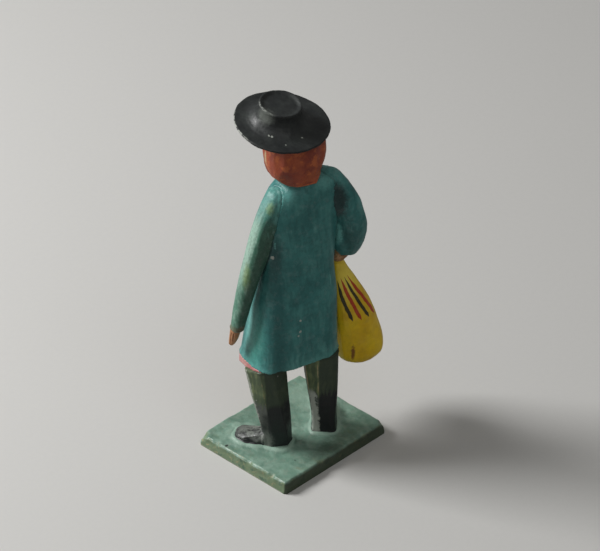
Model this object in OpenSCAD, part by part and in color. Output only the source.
// Carved and painted wooden figurine: a person in a long coat and a broad hat, with a bundle in one hand.
// Every piece is carved by itself, and the pieces are glued, pegged and nailed together.
// Millimetres, +Z up. The origin is the centre of the base plate's underside.
// The figure faces -Y, turned a little on its plate, and its own left hand is on the +X side.

/* [Base plate] */
// Width of the plate, side to side
base_w = 31; // [28:0.5:40]
// Depth of the plate, front to back
base_d = 26; // [24:0.2:36]
// Thickness of the plate
base_h = 3; // [2.4:0.1:6]
// Radius of the plate's corners, seen from above
base_corner_r = 0.5; // [0.4:0.1:3]
// Bevel along the top edge of the plate
base_bevel = 0.5; // [0.2:0.1:1]

/* [Stance] */
// Turn of the figure on its plate, in degrees
stance_turn = -13; // [-20:1:20]
// Distance from the plate's centre back to the line through the ankles
stance_back = 3.1; // [1:0.1:5]
// Distance from the plate's centre to the middle between the ankles, towards the figure's left
stance_side = 0.2; // [-2:0.1:2]
// Distance between the ankles
ankle_gap = 11.6; // [10:0.2:14]
// Turn of each foot outwards, in degrees
toe_out = 35; // [14:1:40]

/* [Legs and boots] */
// Height from the plate to the hem of the coat
leg_h = 20; // [17:0.2:26]
// Width of a boot at the heel
heel_w = 5.6; // [4.6:0.1:6.2]
// Depth of a boot at the heel
heel_d = 5.8; // [5:0.1:6.4]
// Width of a trouser leg under the coat
thigh_w = 7.8; // [6:0.1:8]
// Depth of a trouser leg under the coat
thigh_d = 7.4; // [5.8:0.1:7.8]
// Distance between the legs' middles under the coat
hip_gap = 12.6; // [11:0.1:13]
// Length of a toe piece, from the leg to the tip
toe_l = 7.5; // [6:0.1:10]
// Width of a toe piece
toe_w = 6.2; // [4:0.1:6.4]
// Height of a toe piece at the instep
toe_h = 3.3; // [2.8:0.1:5]

/* [Coat] */
// Height of the coat, from the hem to the neck
coat_h = 42; // [40:0.2:46]
// Width of the coat at the hem
hem_w = 20.4; // [19:0.2:23]
// Depth of the coat at the hem
hem_d = 15.2; // [14.4:0.2:17]
// Width of the coat at the waist
waist_w = 16.6; // [15:0.2:18]
// Depth of the coat at the waist
waist_d = 11; // [10:0.2:14]
// Width of the coat across the shoulders, without the sleeves
shoulder_w = 16.4; // [15.8:0.2:17.6]
// Depth of the coat at the shoulders
shoulder_d = 9.8; // [9:0.1:11]
// Width of the flat at the neck
collar_w = 9; // [8:0.1:11]
// How far the neck stands in front of the ankles
lean = 5.2; // [4:0.1:6]
// How far the neck stands towards the figure's right of the middle between its ankles
sway = 3.1; // [2.4:0.1:3.6]
// How far the left shoulder slopes in towards the neck
shoulder_slope = 1.2; // [0.4:0.1:1.8]
// Turn of the shoulders against the hips, in degrees
shoulder_turn = -7; // [-10:1:10]

/* [Waistcoat] */
// Width of the coat's front opening at the neck
opening_top_w = 2.6; // [2:0.1:4]
// Width of the coat's front opening at the hem
opening_hem_w = 6.5; // [4:0.1:9]
// How far the waistcoat lies behind the coat's surface
waistcoat_inset = 0.5; // [0.3:0.1:0.9]
// Height that the waistcoat hangs out under the coat at the front
waistcoat_drop = 2.8; // [1.2:0.1:3.2]

/* [Sleeves and hands] */
// Radius of the hanging left sleeve at the shoulder
left_sleeve_r = 2.7; // [2.4:0.1:3]
// Radius of the bent right sleeve at the shoulder
right_sleeve_r = 3.3; // [2.8:0.1:3.6]
// Radius of the left sleeve at the cuff
left_cuff_r = 1.5; // [1.4:0.1:2]
// Radius of the right sleeve at the cuff
right_cuff_r = 2.5; // [2.2:0.1:3]
// Height of the left cuff above the hem
left_cuff_rise = 8.5; // [7:0.1:11]
// Height of the left elbow above the hem
left_elbow_rise = 26.4; // [24:0.1:29]
// Height of the right cuff above the hem
right_cuff_rise = 21.6; // [19:0.1:24]
// Height of the right elbow above the hem
right_elbow_rise = 30.2; // [28:0.1:33]
// How far the right elbow stands out behind the coat's middle
right_elbow_back = 3.1; // [1:0.1:5]
// Length of the open hand outside its cuff
hand_l = 4.8; // [3:0.1:6]
// Width of the open hand, front to back
hand_w = 2.6; // [2.4:0.1:3.4]
// Thickness of the open hand
hand_t = 2.2; // [2:0.1:2.8]
// Length of the fist outside its cuff
fist_l = 3.4; // [3:0.1:4.5]
// Width of the fist
fist_w = 3.3; // [3:0.1:4]
// Radius of the wrist that is glued into the cuff
wrist_r = 0.8; // [0.6:0.05:0.9]

/* [Head] */
// Height of the head, from the neck to the hat
head_h = 12.2; // [11:0.2:15]
// Width of the hair at its widest
hair_w = 12.8; // [11.6:0.2:14]
// Depth of the hair at its widest
hair_d = 12.8; // [12:0.2:15]
// Width of the face
face_w = 8.4; // [7.6:0.1:9.2]

/* [Hat] */
// Diameter of the brim
brim_d = 20.4; // [18:0.2:25]
// Thickness of the brim
brim_h = 0.9; // [0.6:0.1:1.4]
// Diameter of the crown at its top
crown_d = 9.4; // [8:0.2:10]
// Height of the crown above the brim
crown_h = 4.3; // [3.6:0.1:7]
// Width of the sweep from the crown to the brim
crown_sweep = 3; // [1.5:0.1:3.8]
// Tilt of the hat to the back, in degrees
hat_tilt_back = 9; // [0:1:14]
// Tilt of the hat to the figure's right, in degrees
hat_tilt_right = 4; // [-6:1:6]

/* [Bundle] */
// Height of the bundle, from its flat bottom to the fist
bundle_h = 27; // [20:0.5:28]
// Width of the bundle near its bottom
bundle_w = 11; // [8:0.2:11.4]
// Depth of the bundle near its bottom
bundle_d = 8; // [6.5:0.2:10]
// How far the bundle's bottom hangs outwards from its neck
bundle_swing = 5.6; // [2.4:0.2:6]
// Radius of the bundle's tied neck
bundle_neck_r = 0.8; // [0.6:0.05:1]

/* [Joinery] */
// Diameter of the wooden pegs in the hips, the neck and the hat
peg_d = 2; // [1.6:0.1:2.2]
// Diameter of the wooden pegs in the shoulders
shoulder_peg_d = 1.6; // [1.2:0.1:1.8]
// How deep a peg goes into each piece
peg_depth = 3.2; // [2.4:0.1:3.6]
// Diameter of the nails in the plate
nail_d = 1.2; // [0.8:0.1:1.4]
// Diameter of the nails' heads
nail_head_d = 2.6; // [2:0.1:3]
// Gap for glue around a peg or between two carved faces
glue_gap = 0.1; // [0.05:0.05:0.15]

/* [Hidden] */

// The figure's left is +1 and its right is -1
LEFT = 1;
RIGHT = -1;
// A cut reaches this far past the faces that it opens
over = 0.5;
// A block large enough to cut off a whole side of the figure
block = 60;

// Corners around the carved forms, and rings along them
coat_sides = 28;
coat_rings = 16;
limb_sides = 16;
limb_rings = 10;
head_sides = 24;
head_rings = 10;
bundle_sides = 20;
bundle_rings = 12;

// Middles of the coat at the hem and at the neck, above the plate
hem_z = leg_h;
hem_side = 0.6;
hem_front = 4.3;
hem_centre = [hem_side, -hem_front, hem_z];
neck_centre = [-sway, -lean, hem_z + coat_h];

base_colour = [0.47, 0.60, 0.52];
nail_colour = [0.45, 0.45, 0.47];
trouser_colour = [0.24, 0.30, 0.22];
boot_colour = [0.09, 0.10, 0.11];
coat_colour = [0.21, 0.46, 0.46];
waistcoat_colour = [0.85, 0.50, 0.48];
skin_colour = [0.72, 0.48, 0.28];
hair_colour = [0.50, 0.22, 0.13];
hat_colour = [0.15, 0.16, 0.16];
bundle_colour = [0.80, 0.64, 0.12];
peg_colour = [0.78, 0.66, 0.46];

// Maths for carved forms

function unit(v) = v / norm(v);

function power(base, exponent) = sign(base) * pow(abs(base), exponent);

// Corner of a section at angle t: an ellipse at squareness 2, nearly a box at 5
function section(half_w, half_d, squareness, t) =
    [half_w * power(cos(t), 2 / squareness), half_d * power(sin(t), 2 / squareness)];

function turned(p, angle) = [p.x * cos(angle) - p.y * sin(angle), p.x * sin(angle) + p.y * cos(angle)];

// Point at place u, from 0 to 1, on a smooth curve through a list of stations
function along(stations, u) =
    let (
        last = len(stations) - 1,
        place = u * last,
        k = min(floor(place), last - 1),
        t = place - k,
        p0 = stations[max(k - 1, 0)],
        p1 = stations[k],
        p2 = stations[k + 1],
        p3 = stations[min(k + 2, last)],
        slope = p2 - p0,
        bend = 2 * p0 - 5 * p1 + 4 * p2 - p3,
        twist = 3 * p1 - p0 - 3 * p2 + p3
    )
    p1 + 0.5 * t * (slope + t * (bend + t * twist));

// Level ring for a station [x, y, z, half width, half depth, squareness, turn], grown outwards
function level_ring(station, sides, grow = 0) = [
    for (i = [0 : sides - 1])
        let (
            p = section(station[3] + grow, station[4] + grow, station[5], 360 * (i + 0.5) / sides),
            q = turned(p, station[6])
        )
        [station.x + q.x, station.y + q.y, station.z]
];

function level_rings(stations, sides, count, grow = 0) =
    [for (k = [0 : count]) level_ring(along(stations, k / count), sides, grow)];

// Ring square to an axis, round a centre
function axis_ring(centre, axis, half_w, half_d, squareness, sides) =
    let (u = unit(cross([0, 1, 0], axis)), v = cross(axis, u))
    [
        for (i = [0 : sides - 1])
            let (p = section(half_w, half_d, squareness, 360 * (i + 0.5) / sides))
            centre + p.x * u + p.y * v
    ];

// Solid through rings of equally many corners
module carved(rings) {
    sides = len(rings[0]);
    last = len(rings) - 1;
    walls = [
        for (k = [0 : last - 1], i = [0 : sides - 1])
            let (a = k * sides + i, b = k * sides + (i + 1) % sides)
            each [[a, a + sides, b + sides], [a, b + sides, b]]
    ];
    bottom = [for (i = [0 : sides - 1]) i];
    top = [for (i = [sides - 1 : -1 : 0]) last * sides + i];
    polyhedron([for (ring = rings) each ring], [each walls, bottom, top]);
}

// Round rod from a point along an axis
module rod(start, axis, length, diameter) {
    translate(start) rotate([0, acos(axis.z), atan2(axis.y, axis.x)])
        cylinder(d = diameter, h = length, $fn = 32);
}

// Places on the figure

module on_plate() translate([stance_side, stance_back, base_h]) rotate(stance_turn) children();

// The left foot stands a little in front of the right one, and both a little to the left
ankle_side = 0.4;
ankle_lead = 0.3;

function ankle(side) = [ankle_side + side * ankle_gap / 2, -side * ankle_lead, 0];

hip_side = 0.8;
hip_back = 2.4;
hip_lead = 0.9;

// The left leg stands a little in front of the right one
function hip(side) = hem_centre + [hip_side + side * hip_gap / 2, hip_back - side * hip_lead, 0];

module at_foot(side) translate(ankle(side)) rotate(side * toe_out) children();

// Base plate and its nails

nail_head_h = 0.5;
nail_head_lift = 0.1;
nail_grip = 6;

module plate_outline() {
    square([base_w - 2 * base_corner_r, base_d], center = true);
    square([base_w, base_d - 2 * base_corner_r], center = true);
    for (x = [-1, 1], y = [-1, 1])
        translate([x * (base_w / 2 - base_corner_r), y * (base_d / 2 - base_corner_r)])
            circle(base_corner_r, $fn = 32);
}

// Cross-section of the plate with bevelled top corners, for a plate of this width
module bevelled_profile(width) {
    polygon([
        [-width / 2, 0], [width / 2, 0],
        [width / 2, base_h - base_bevel], [width / 2 - base_bevel, base_h],
        [-width / 2 + base_bevel, base_h], [-width / 2, base_h - base_bevel]
    ]);
}

module at_nails() on_plate() for (side = [LEFT, RIGHT]) translate(ankle(side) - [0, 0, base_h]) children();

module nail() {
    translate([0, 0, nail_head_lift]) {
        cylinder(d = nail_d, h = base_h + nail_grip - nail_head_lift, $fn = 32);
        cylinder(d = nail_head_d, h = nail_head_h, $fn = 32);
    }
}

module nail_hole() {
    translate([0, 0, -over]) {
        cylinder(d = nail_d + 2 * glue_gap, h = base_h + nail_grip + glue_gap + over, $fn = 32);
        cylinder(d = nail_head_d + 2 * glue_gap, h = nail_head_lift + nail_head_h + over, $fn = 32);
    }
}

module base_plate() {
    color(base_colour) difference() {
        intersection() {
            linear_extrude(base_h) plate_outline();
            rotate([90, 0, 0]) linear_extrude(base_d, center = true) bevelled_profile(base_w);
            rotate([90, 0, 90]) linear_extrude(base_w, center = true) bevelled_profile(base_d);
        }
        at_nails() nail_hole();
    }
}

module base_nails() {
    color(nail_colour) at_nails() nail();
}

// Legs and boots

toe_seat = 0.8;
leg_squareness = 4.5;

function leg_stations(side) =
    let (top = hip(side), turn = side * toe_out, bottom = ankle(side))
    [
        [bottom.x, bottom.y, 0, heel_w / 2, heel_d / 2, leg_squareness, turn],
        [bottom.x, bottom.y - 0.2, leg_h * 0.2, heel_w * 0.5, heel_d * 0.5, leg_squareness, turn],
        [
            (bottom.x + top.x) / 2, (bottom.y + top.y) / 2, leg_h * 0.55,
            (heel_w + thigh_w) / 4, (heel_d + thigh_d) / 4, leg_squareness, turn * 0.7
        ],
        [top.x, top.y, leg_h, thigh_w / 2, thigh_d / 2, leg_squareness, turn * 0.5]
    ];

module leg(side) {
    color(trouser_colour) on_plate() difference() {
        carved(level_rings(leg_stations(side), limb_sides, limb_rings));
        at_foot(side) translate([-block / 2, toe_seat - heel_d / 2 - block, -over])
            cube([block, block, toe_h + over]);
        above_waistcoat_underside();
        translate(hip(side) - [0, 0, peg_depth]) cylinder(d = peg_d + 2 * glue_gap, h = block, $fn = 32);
        translate(ankle(side) - [0, 0, base_h]) nail_hole();
    }
}

// Half-round ring of a toe piece, this far in front of its leg and to the left of its middle
function toe_ring(reach, half_w, height, aside = 0) = [
    for (i = [0 : limb_sides - 1])
        let (p = section(half_w, height, 2.8, 180 * i / (limb_sides - 1)))
        [p.x + aside, toe_seat - heel_d / 2 - reach, p.y]
];

// How far the left toe piece swells outwards, and how much narrower the right one is
left_toe_swell = 0.5;
right_toe_narrow = 0.9;

module boot_toe(side) {
    wide = side == LEFT ? toe_w : toe_w - right_toe_narrow;
    swell = side == LEFT ? left_toe_swell : 0;
    rings = [
        toe_ring(0, wide * 0.44, toe_h),
        toe_ring(toe_l * 0.25, wide * 0.48, toe_h * 0.84, swell),
        toe_ring(toe_l * 0.55, wide * 0.5, toe_h * 0.64, swell),
        toe_ring(toe_l * 0.8, wide * 0.43, toe_h * 0.54, swell * 0.6),
        toe_ring(toe_l * 0.94, wide * 0.3, toe_h * 0.46, swell * 0.3),
        toe_ring(toe_l, wide * 0.16, toe_h * 0.38)
    ];
    color(boot_colour) on_plate() at_foot(side) carved(rings);
}

module hip_pegs() {
    color(peg_colour) on_plate() for (side = [LEFT, RIGHT])
        translate(hip(side) - [0, 0, peg_depth - glue_gap])
            cylinder(d = peg_d, h = 2 * (peg_depth - glue_gap), $fn = 32);
}

module hip_peg_hole(side) {
    translate(hip(side) - [0, 0, block]) cylinder(d = peg_d + 2 * glue_gap, h = peg_depth + block, $fn = 32);
}

// Coat and waistcoat

coat_squareness = 3.2;
collar_d = 7.6;

// Station of the coat at a share of its height, with its left side taken in
function coat_station(share, half_w, half_d, squareness, take_in = 0) =
    let (centre = hem_centre + share * (neck_centre - hem_centre))
    [centre.x - take_in, centre.y, centre.z, half_w - take_in, half_d, squareness, share * shoulder_turn];

coat_stations = [
    coat_station(0, hem_w / 2, hem_d / 2, coat_squareness),
    coat_station(0.16, hem_w / 2 - 0.6, hem_d / 2 - 0.3, coat_squareness),
    coat_station(0.33, (hem_w + waist_w) / 4, (hem_d + waist_d) / 4, coat_squareness),
    coat_station(0.5, waist_w / 2, waist_d / 2, coat_squareness),
    coat_station(0.67, (waist_w + shoulder_w) / 4, (waist_d + shoulder_d) / 4 + 0.2, coat_squareness),
    coat_station(0.82, shoulder_w / 2, shoulder_d / 2 + 0.2, 2.8),
    coat_station(0.93, shoulder_w / 2 * 0.98, shoulder_d / 2 + 0.1, 2.7, shoulder_slope / 2),
    coat_station(0.98, shoulder_w / 2 * 0.88, shoulder_d / 2 * 0.94, 2.5, shoulder_slope),
    coat_station(1, collar_w / 2, collar_d / 2, 2.3)
];

module coat_form(grow = 0) carved(level_rings(coat_stations, coat_sides, coat_rings, grow));

// Back of the slot for the waistcoat, in front of the neck peg
opening_back = neck_centre.y - peg_d / 2 - 0.8;

// Slot down the front of the coat, made narrower by a margin on both sides and at the back
module front_opening(margin = 0) {
    hem_half = opening_hem_w / 2 - margin;
    top_half = opening_top_w / 2 - margin;
    top_x = neck_centre.x - hem_centre.x;
    translate([hem_centre.x, opening_back - margin, hem_z]) rotate([90, 0, 0]) linear_extrude(block)
        polygon([
            [-hem_half, -over], [hem_half, -over], [hem_half, 0],
            [top_x + top_half, coat_h], [top_x + top_half, coat_h + over],
            [top_x - top_half, coat_h + over], [top_x - top_half, coat_h], [-hem_half, 0]
        ]);
}

module coat_body() {
    color(coat_colour) on_plate() difference() {
        coat_form();
        front_opening();
        for (side = [LEFT, RIGHT]) {
            sleeve_form(side, glue_gap);
            hip_peg_hole(side);
            shoulder_peg(side, glue_gap);
        }
        neck_peg_rod(glue_gap);
    }
}

// The waistcoat's underside falls from this far behind the hem's middle to the front
fall_start = 5;
fall_angle = atan2(waistcoat_drop, fall_start + hem_d / 2);

module below_waistcoat_underside() {
    translate(hem_centre + [0, fall_start, 0]) rotate([fall_angle, 0, 0])
        translate([-block / 2, -block / 2, -block]) cube(block);
}

module above_waistcoat_underside() {
    translate(hem_centre + [0, fall_start, 0]) rotate([fall_angle, 0, 0])
        translate([-block / 2, -block / 2, 0]) cube(block);
}

skirt_flare = 0.3;

module waistcoat_skirt() {
    depth = waistcoat_drop + 1;
    top = coat_stations[0];
    bottom = top + [0, 0, -depth, skirt_flare, skirt_flare, 0, 0];
    difference() {
        carved([level_ring(bottom, coat_sides), level_ring(top, coat_sides)]);
        below_waistcoat_underside();
        for (side = [LEFT, RIGHT]) hip_peg_hole(side);
    }
}

module waistcoat() {
    color(waistcoat_colour) on_plate() {
        waistcoat_skirt();
        intersection() {
            coat_form(-waistcoat_inset);
            front_opening(glue_gap);
        }
    }
}

// Sleeves and hands

sleeve_squareness = 2.4;
// How deep a sleeve's axis lies inside the coat's shoulder, and how far behind its middle
shoulder_seat = 1.9;
shoulder_back = 0.5;

// Where a sleeve's axis starts in the shoulder, lower and further in on the left
function sleeve_start(side) =
    let (
        at = coat_station(0.93, 0, 0, 2),
        slope = side == LEFT ? shoulder_slope : 0,
        p = turned([side * (shoulder_w / 2 - shoulder_seat - slope / 2), shoulder_back], at[6])
    )
    [at.x + p.x, at.y + p.y, at.z - slope];

// How deep the left sleeve lies in its seat at the cuff and at the elbow
left_cuff_seat = 0.2;
left_elbow_seat = 2.6;
// How far the left cuff and elbow lie in front of the coat's middle
left_cuff_front = 2.2;
left_elbow_front = 0.7;
// How far the right cuff and elbow stand clear of the coat's side, and the cuff behind its middle
right_cuff_clear = 1.1;
right_elbow_clear = 0.1;
right_cuff_back = 0.9;

left_cuff = hem_centre + [hem_w / 2 + left_cuff_r - left_cuff_seat, -left_cuff_front, left_cuff_rise];
left_elbow = hem_centre + [hem_w / 2 - left_elbow_seat, -left_elbow_front, left_elbow_rise];
right_cuff_out = hem_w / 2 + right_cuff_r + right_cuff_clear;
right_cuff = hem_centre + [-right_cuff_out, right_cuff_back, right_cuff_rise];
right_elbow_out = hem_w / 2 + right_sleeve_r + right_elbow_clear;
right_elbow = hem_centre + [-right_elbow_out, right_elbow_back, right_elbow_rise];

function cuff(side) = side == LEFT ? left_cuff : right_cuff;

function elbow(side) = side == LEFT ? left_elbow : right_elbow;

// Middle of a sleeve at place u, bent smoothly through the elbow
function sleeve_middle(side, u) =
    let (a = sleeve_start(side), c = cuff(side), b = 2 * elbow(side) - (a + c) / 2)
    (1 - u) * (1 - u) * a + 2 * u * (1 - u) * b + u * u * c;

function sleeve_axis(side, u) = unit(sleeve_middle(side, u + 0.01) - sleeve_middle(side, u - 0.01));

function shoulder_r(side) = side == LEFT ? left_sleeve_r : right_sleeve_r;

function cuff_r(side) = side == LEFT ? left_cuff_r : right_cuff_r;

function sleeve_radius(side, u) = shoulder_r(side) + (cuff_r(side) - shoulder_r(side)) * u * u;

function sleeve_cap_ring(side, angle, grow) =
    let (axis = sleeve_axis(side, 0), r = shoulder_r(side) + grow, small = r * sin(angle))
    axis_ring(sleeve_start(side) - r * cos(angle) * axis, axis, small, small, sleeve_squareness, limb_sides);

function sleeve_ring(side, u, grow) =
    let (r = sleeve_radius(side, u) + grow)
    axis_ring(sleeve_middle(side, u), sleeve_axis(side, u), r, r, sleeve_squareness, limb_sides);

// Sleeve with a rounded shoulder, grown outwards to make its seat in the coat
module sleeve_form(side, grow = 0) {
    cap = [for (angle = [20, 45, 70]) sleeve_cap_ring(side, angle, grow)];
    tube = [for (k = [0 : limb_rings]) sleeve_ring(side, k / limb_rings, grow)];
    carved([each cap, each tube]);
}

shoulder_peg_in = 1.4;
shoulder_peg_out = 0.8;

// Peg from the coat into a sleeve, grown all round to make its hole
module shoulder_peg(side, grow = 0) {
    inwards = [-side * cos(shoulder_turn), -side * sin(shoulder_turn), 0];
    length = shoulder_peg_out + shoulder_r(side) + shoulder_peg_in;
    rod(
        sleeve_start(side) - (shoulder_peg_out + grow) * inwards, inwards,
        length + 2 * grow, shoulder_peg_d + 2 * grow
    );
}

module shoulder_pegs() {
    color(peg_colour) on_plate() for (side = [LEFT, RIGHT]) shoulder_peg(side);
}

wrist_depth = 2.4;

module wrist(side, grow = 0) {
    axis = sleeve_axis(side, 1);
    rod(cuff(side) - (wrist_depth + grow) * axis, axis, wrist_depth + grow + 0.6, 2 * (wrist_r + grow));
}

module arm(side) {
    color(coat_colour) on_plate() difference() {
        sleeve_form(side);
        wrist(side, glue_gap);
        shoulder_peg(side, glue_gap);
    }
}

// Ring of a hand, this far below its cuff, and in front of the cuff's middle and to the left of it
function hand_ring(side, reach, half_w, half_d, ahead = 0, aside = 0) =
    let (axis = sleeve_axis(side, 1))
    axis_ring(cuff(side) + reach * axis + [aside, -ahead, 0], axis, half_w, half_d, 2.6, limb_sides);

module left_hand() {
    rings = [
        hand_ring(LEFT, 0, hand_t * 0.5, hand_w * 0.44, hand_w * 0.1),
        hand_ring(LEFT, hand_l * 0.25, hand_t * 0.5, hand_w * 0.5, hand_w * 0.2),
        hand_ring(LEFT, hand_l * 0.55, hand_t * 0.46, hand_w * 0.5, hand_w * 0.3),
        hand_ring(LEFT, hand_l * 0.85, hand_t * 0.35, hand_w * 0.38, hand_w * 0.38),
        hand_ring(LEFT, hand_l, hand_t * 0.2, hand_w * 0.25, hand_w * 0.42)
    ];
    color(skin_colour) on_plate() {
        carved(rings);
        wrist(LEFT);
    }
}

// How far the fist turns in towards the coat
fist_in = 0.8;

module right_hand() {
    rings = [
        hand_ring(RIGHT, 0, fist_w * 0.38, fist_w * 0.4),
        hand_ring(RIGHT, fist_l * 0.2, fist_w * 0.45, fist_w * 0.47, 0, fist_in * 0.3),
        hand_ring(RIGHT, fist_l * 0.5, fist_w * 0.49, fist_w * 0.51, 0, fist_in * 0.7),
        hand_ring(RIGHT, fist_l * 0.8, fist_w * 0.46, fist_w * 0.49, 0, fist_in),
        hand_ring(RIGHT, fist_l, fist_w * 0.36, fist_w * 0.38, 0, fist_in)
    ];
    color(skin_colour) on_plate() difference() {
        union() {
            carved(rings);
            wrist(RIGHT);
        }
        bundle_spigot(glue_gap);
    }
}

// Bundle

spigot_depth = 2;
fist_end = right_cuff + fist_l * sleeve_axis(RIGHT, 1) + [fist_in, 0, 0];

module bundle_spigot(grow = 0) {
    axis = -sleeve_axis(RIGHT, 1);
    rod(fist_end - 0.6 * axis, axis, spigot_depth + grow + 0.6, 2 * (bundle_neck_r + grow));
}

// Station of the bundle at a share of its height, as a share of its full width and depth
function bundle_station(share, size) =
    let (lag = 1 - pow(share, 1.5))
    [
        fist_end.x - bundle_swing * lag, fist_end.y, fist_end.z - 0.1 - bundle_h * (1 - share),
        bundle_w / 2 * size, bundle_d / 2 * size, 2.6, 0
    ];

bundle_stations = [
    bundle_station(0, 0.78),
    bundle_station(0.04, 0.92),
    bundle_station(0.12, 0.99),
    bundle_station(0.26, 1),
    bundle_station(0.42, 0.95),
    bundle_station(0.6, 0.77),
    bundle_station(0.78, 0.51),
    bundle_station(0.92, 0.31),
    bundle_station(1, 0.28)
];

module bundle() {
    color(bundle_colour) on_plate() {
        carved(level_rings(bundle_stations, bundle_sides, bundle_rings));
        bundle_spigot();
    }
}

// Head

// How far the top of the head stands in front of the neck, and to the left of it
head_lean = 1.6;
head_side = 2;
head_top = neck_centre + [head_side, -head_lean, head_h];
// The hat sits a little off the head's middle, to the left and to the front
hat_off = [1.1, -1, 0];
hat_seat = head_top + hat_off;

module neck_peg_rod(grow = 0) {
    translate(neck_centre - [0, 0, peg_depth + grow])
        cylinder(d = peg_d + 2 * grow, h = 2 * (peg_depth + grow), $fn = 32);
}

module neck_peg() {
    color(peg_colour) on_plate() neck_peg_rod();
}

module at_hat() translate(hat_seat) rotate([-hat_tilt_back, -hat_tilt_right, shoulder_turn]) children();

// Station of the hair or the face at a share of the head's height, off its middle to the back and the left
function head_station(share, back, half_w, half_d, squareness, aside = 0) =
    let (middle = neck_centre + share * (head_top - neck_centre), p = turned([aside, back], shoulder_turn))
    [middle.x + p.x, middle.y + p.y, middle.z, half_w, half_d, squareness, shoulder_turn];

// How far the hair hangs to the left at the nape
hair_aside = 1.3;

hair_stations = [
    head_station(0, 0.2, hair_w / 2 * 0.72, hair_d / 2 * 0.68, 2.6, hair_aside * 0.4),
    head_station(0.14, -0.3, hair_w / 2 * 0.87, hair_d / 2 * 0.82, 2.6, hair_aside),
    head_station(0.4, -0.1, hair_w / 2 * 0.98, hair_d / 2 * 0.96, 2.7, hair_aside * 0.45),
    head_station(0.7, 0, hair_w / 2, hair_d / 2, 2.7, -hair_aside * 0.2),
    head_station(1, 0, hair_w / 2 * 0.94, hair_d / 2 * 0.95, 2.6, -hair_aside * 0.2),
    head_station(1.2, 0, hair_w / 2 * 0.86, hair_d / 2 * 0.88, 2.6, -hair_aside * 0.2)
];

face_stations = [
    head_station(0, -0.2, 2.8, 2.9, 2.2),
    head_station(0.1, -0.5, face_w / 2 * 0.72, 3.4, 2.2),
    head_station(0.18, -1.3, face_w / 2 * 0.76, 4.1, 2.3),
    head_station(0.28, -1.6, face_w / 2 * 0.86, 4.5, 2.4),
    head_station(0.46, -1.6, face_w / 2 * 0.96, 4.5, 2.4),
    head_station(0.7, -1.5, face_w / 2, 4.4, 2.5),
    head_station(1, -1.4, face_w / 2, 4.3, 2.5),
    head_station(1.2, -1.4, face_w / 2, 4.3, 2.5)
];

// The hair is cut off flat this far in front of the head's middle, and the face stands out of the flat
hair_front = 2.6;

module before_hair() {
    translate(neck_centre) rotate(shoulder_turn) rotate([atan2(head_lean, head_h), 0, 0])
        translate([-block / 2, -hair_front - block, -block / 2]) cube(block);
}

module nose() {
    middle = head_station(0.5, -5.9, 0, 0, 2);
    translate([middle.x, middle.y, middle.z]) rotate(shoulder_turn)
        polyhedron(
            [[0, 0.3, 2.2], [-0.9, 0.5, -0.9], [0.9, 0.5, -0.9], [0, -1.4, -0.6]],
            [[0, 3, 1], [0, 2, 3], [1, 3, 2], [0, 1, 2]]
        );
}

module head() {
    color(hair_colour) on_plate() difference() {
        union() {
            difference() {
                carved(level_rings(hair_stations, head_sides, head_rings));
                before_hair();
            }
            carved(level_rings(face_stations, head_sides, head_rings));
            nose();
        }
        at_hat() translate([-block / 2, -block / 2, 0]) cube(block);
        neck_peg_rod(glue_gap);
        hat_peg_rod(glue_gap);
    }
}

// Hat

hat_peg_up = 2.8;
// The crown is carved a little off the middle of the brim
crown_offset = [0.7, -0.5, 0];

module hat_peg_rod(grow = 0) {
    at_hat() translate([0, 0, -peg_depth - grow])
        cylinder(d = peg_d + 2 * grow, h = peg_depth + hat_peg_up + 2 * grow, $fn = 32);
}

module hat_peg() {
    color(peg_colour) on_plate() hat_peg_rod();
}

module hat_form() {
    brim_r = brim_d / 2;
    crown_r = crown_d / 2;
    top = brim_h + crown_h;
    sweep_h = crown_h * 0.75;
    sweep = [
        for (angle = [0 : 15 : 90])
            [crown_r + crown_sweep * (1 - sin(angle)), brim_h + sweep_h * (1 - cos(angle))]
    ];
    rotate_extrude($fn = 64) polygon([
        [0, 0], [brim_r - 0.3, 0], [brim_r, 0.3], [brim_r, brim_h - 0.2], [brim_r - 0.3, brim_h], [0, brim_h]
    ]);
    translate(crown_offset) rotate_extrude($fn = 64) polygon([
        [0, brim_h / 2], [crown_r + crown_sweep, brim_h / 2],
        each sweep,
        [crown_r, top - 0.3], [crown_r - 0.2, top], [crown_r - 0.6, top],
        [crown_r - 1.3, top - 0.4], [0, top - 0.5]
    ]);
}

module hat() {
    color(hat_colour) on_plate() difference() {
        at_hat() hat_form();
        hat_peg_rod(glue_gap);
    }
}

base_plate();
base_nails();
leg(LEFT);  // left_leg
leg(RIGHT);  // right_leg
boot_toe(LEFT);  // left_boot_toe
boot_toe(RIGHT);  // right_boot_toe
hip_pegs();
coat_body();
waistcoat();
arm(LEFT);  // left_arm
arm(RIGHT);  // right_arm
shoulder_pegs();
left_hand();
right_hand();
bundle();
neck_peg();
head();
hat_peg();
hat();
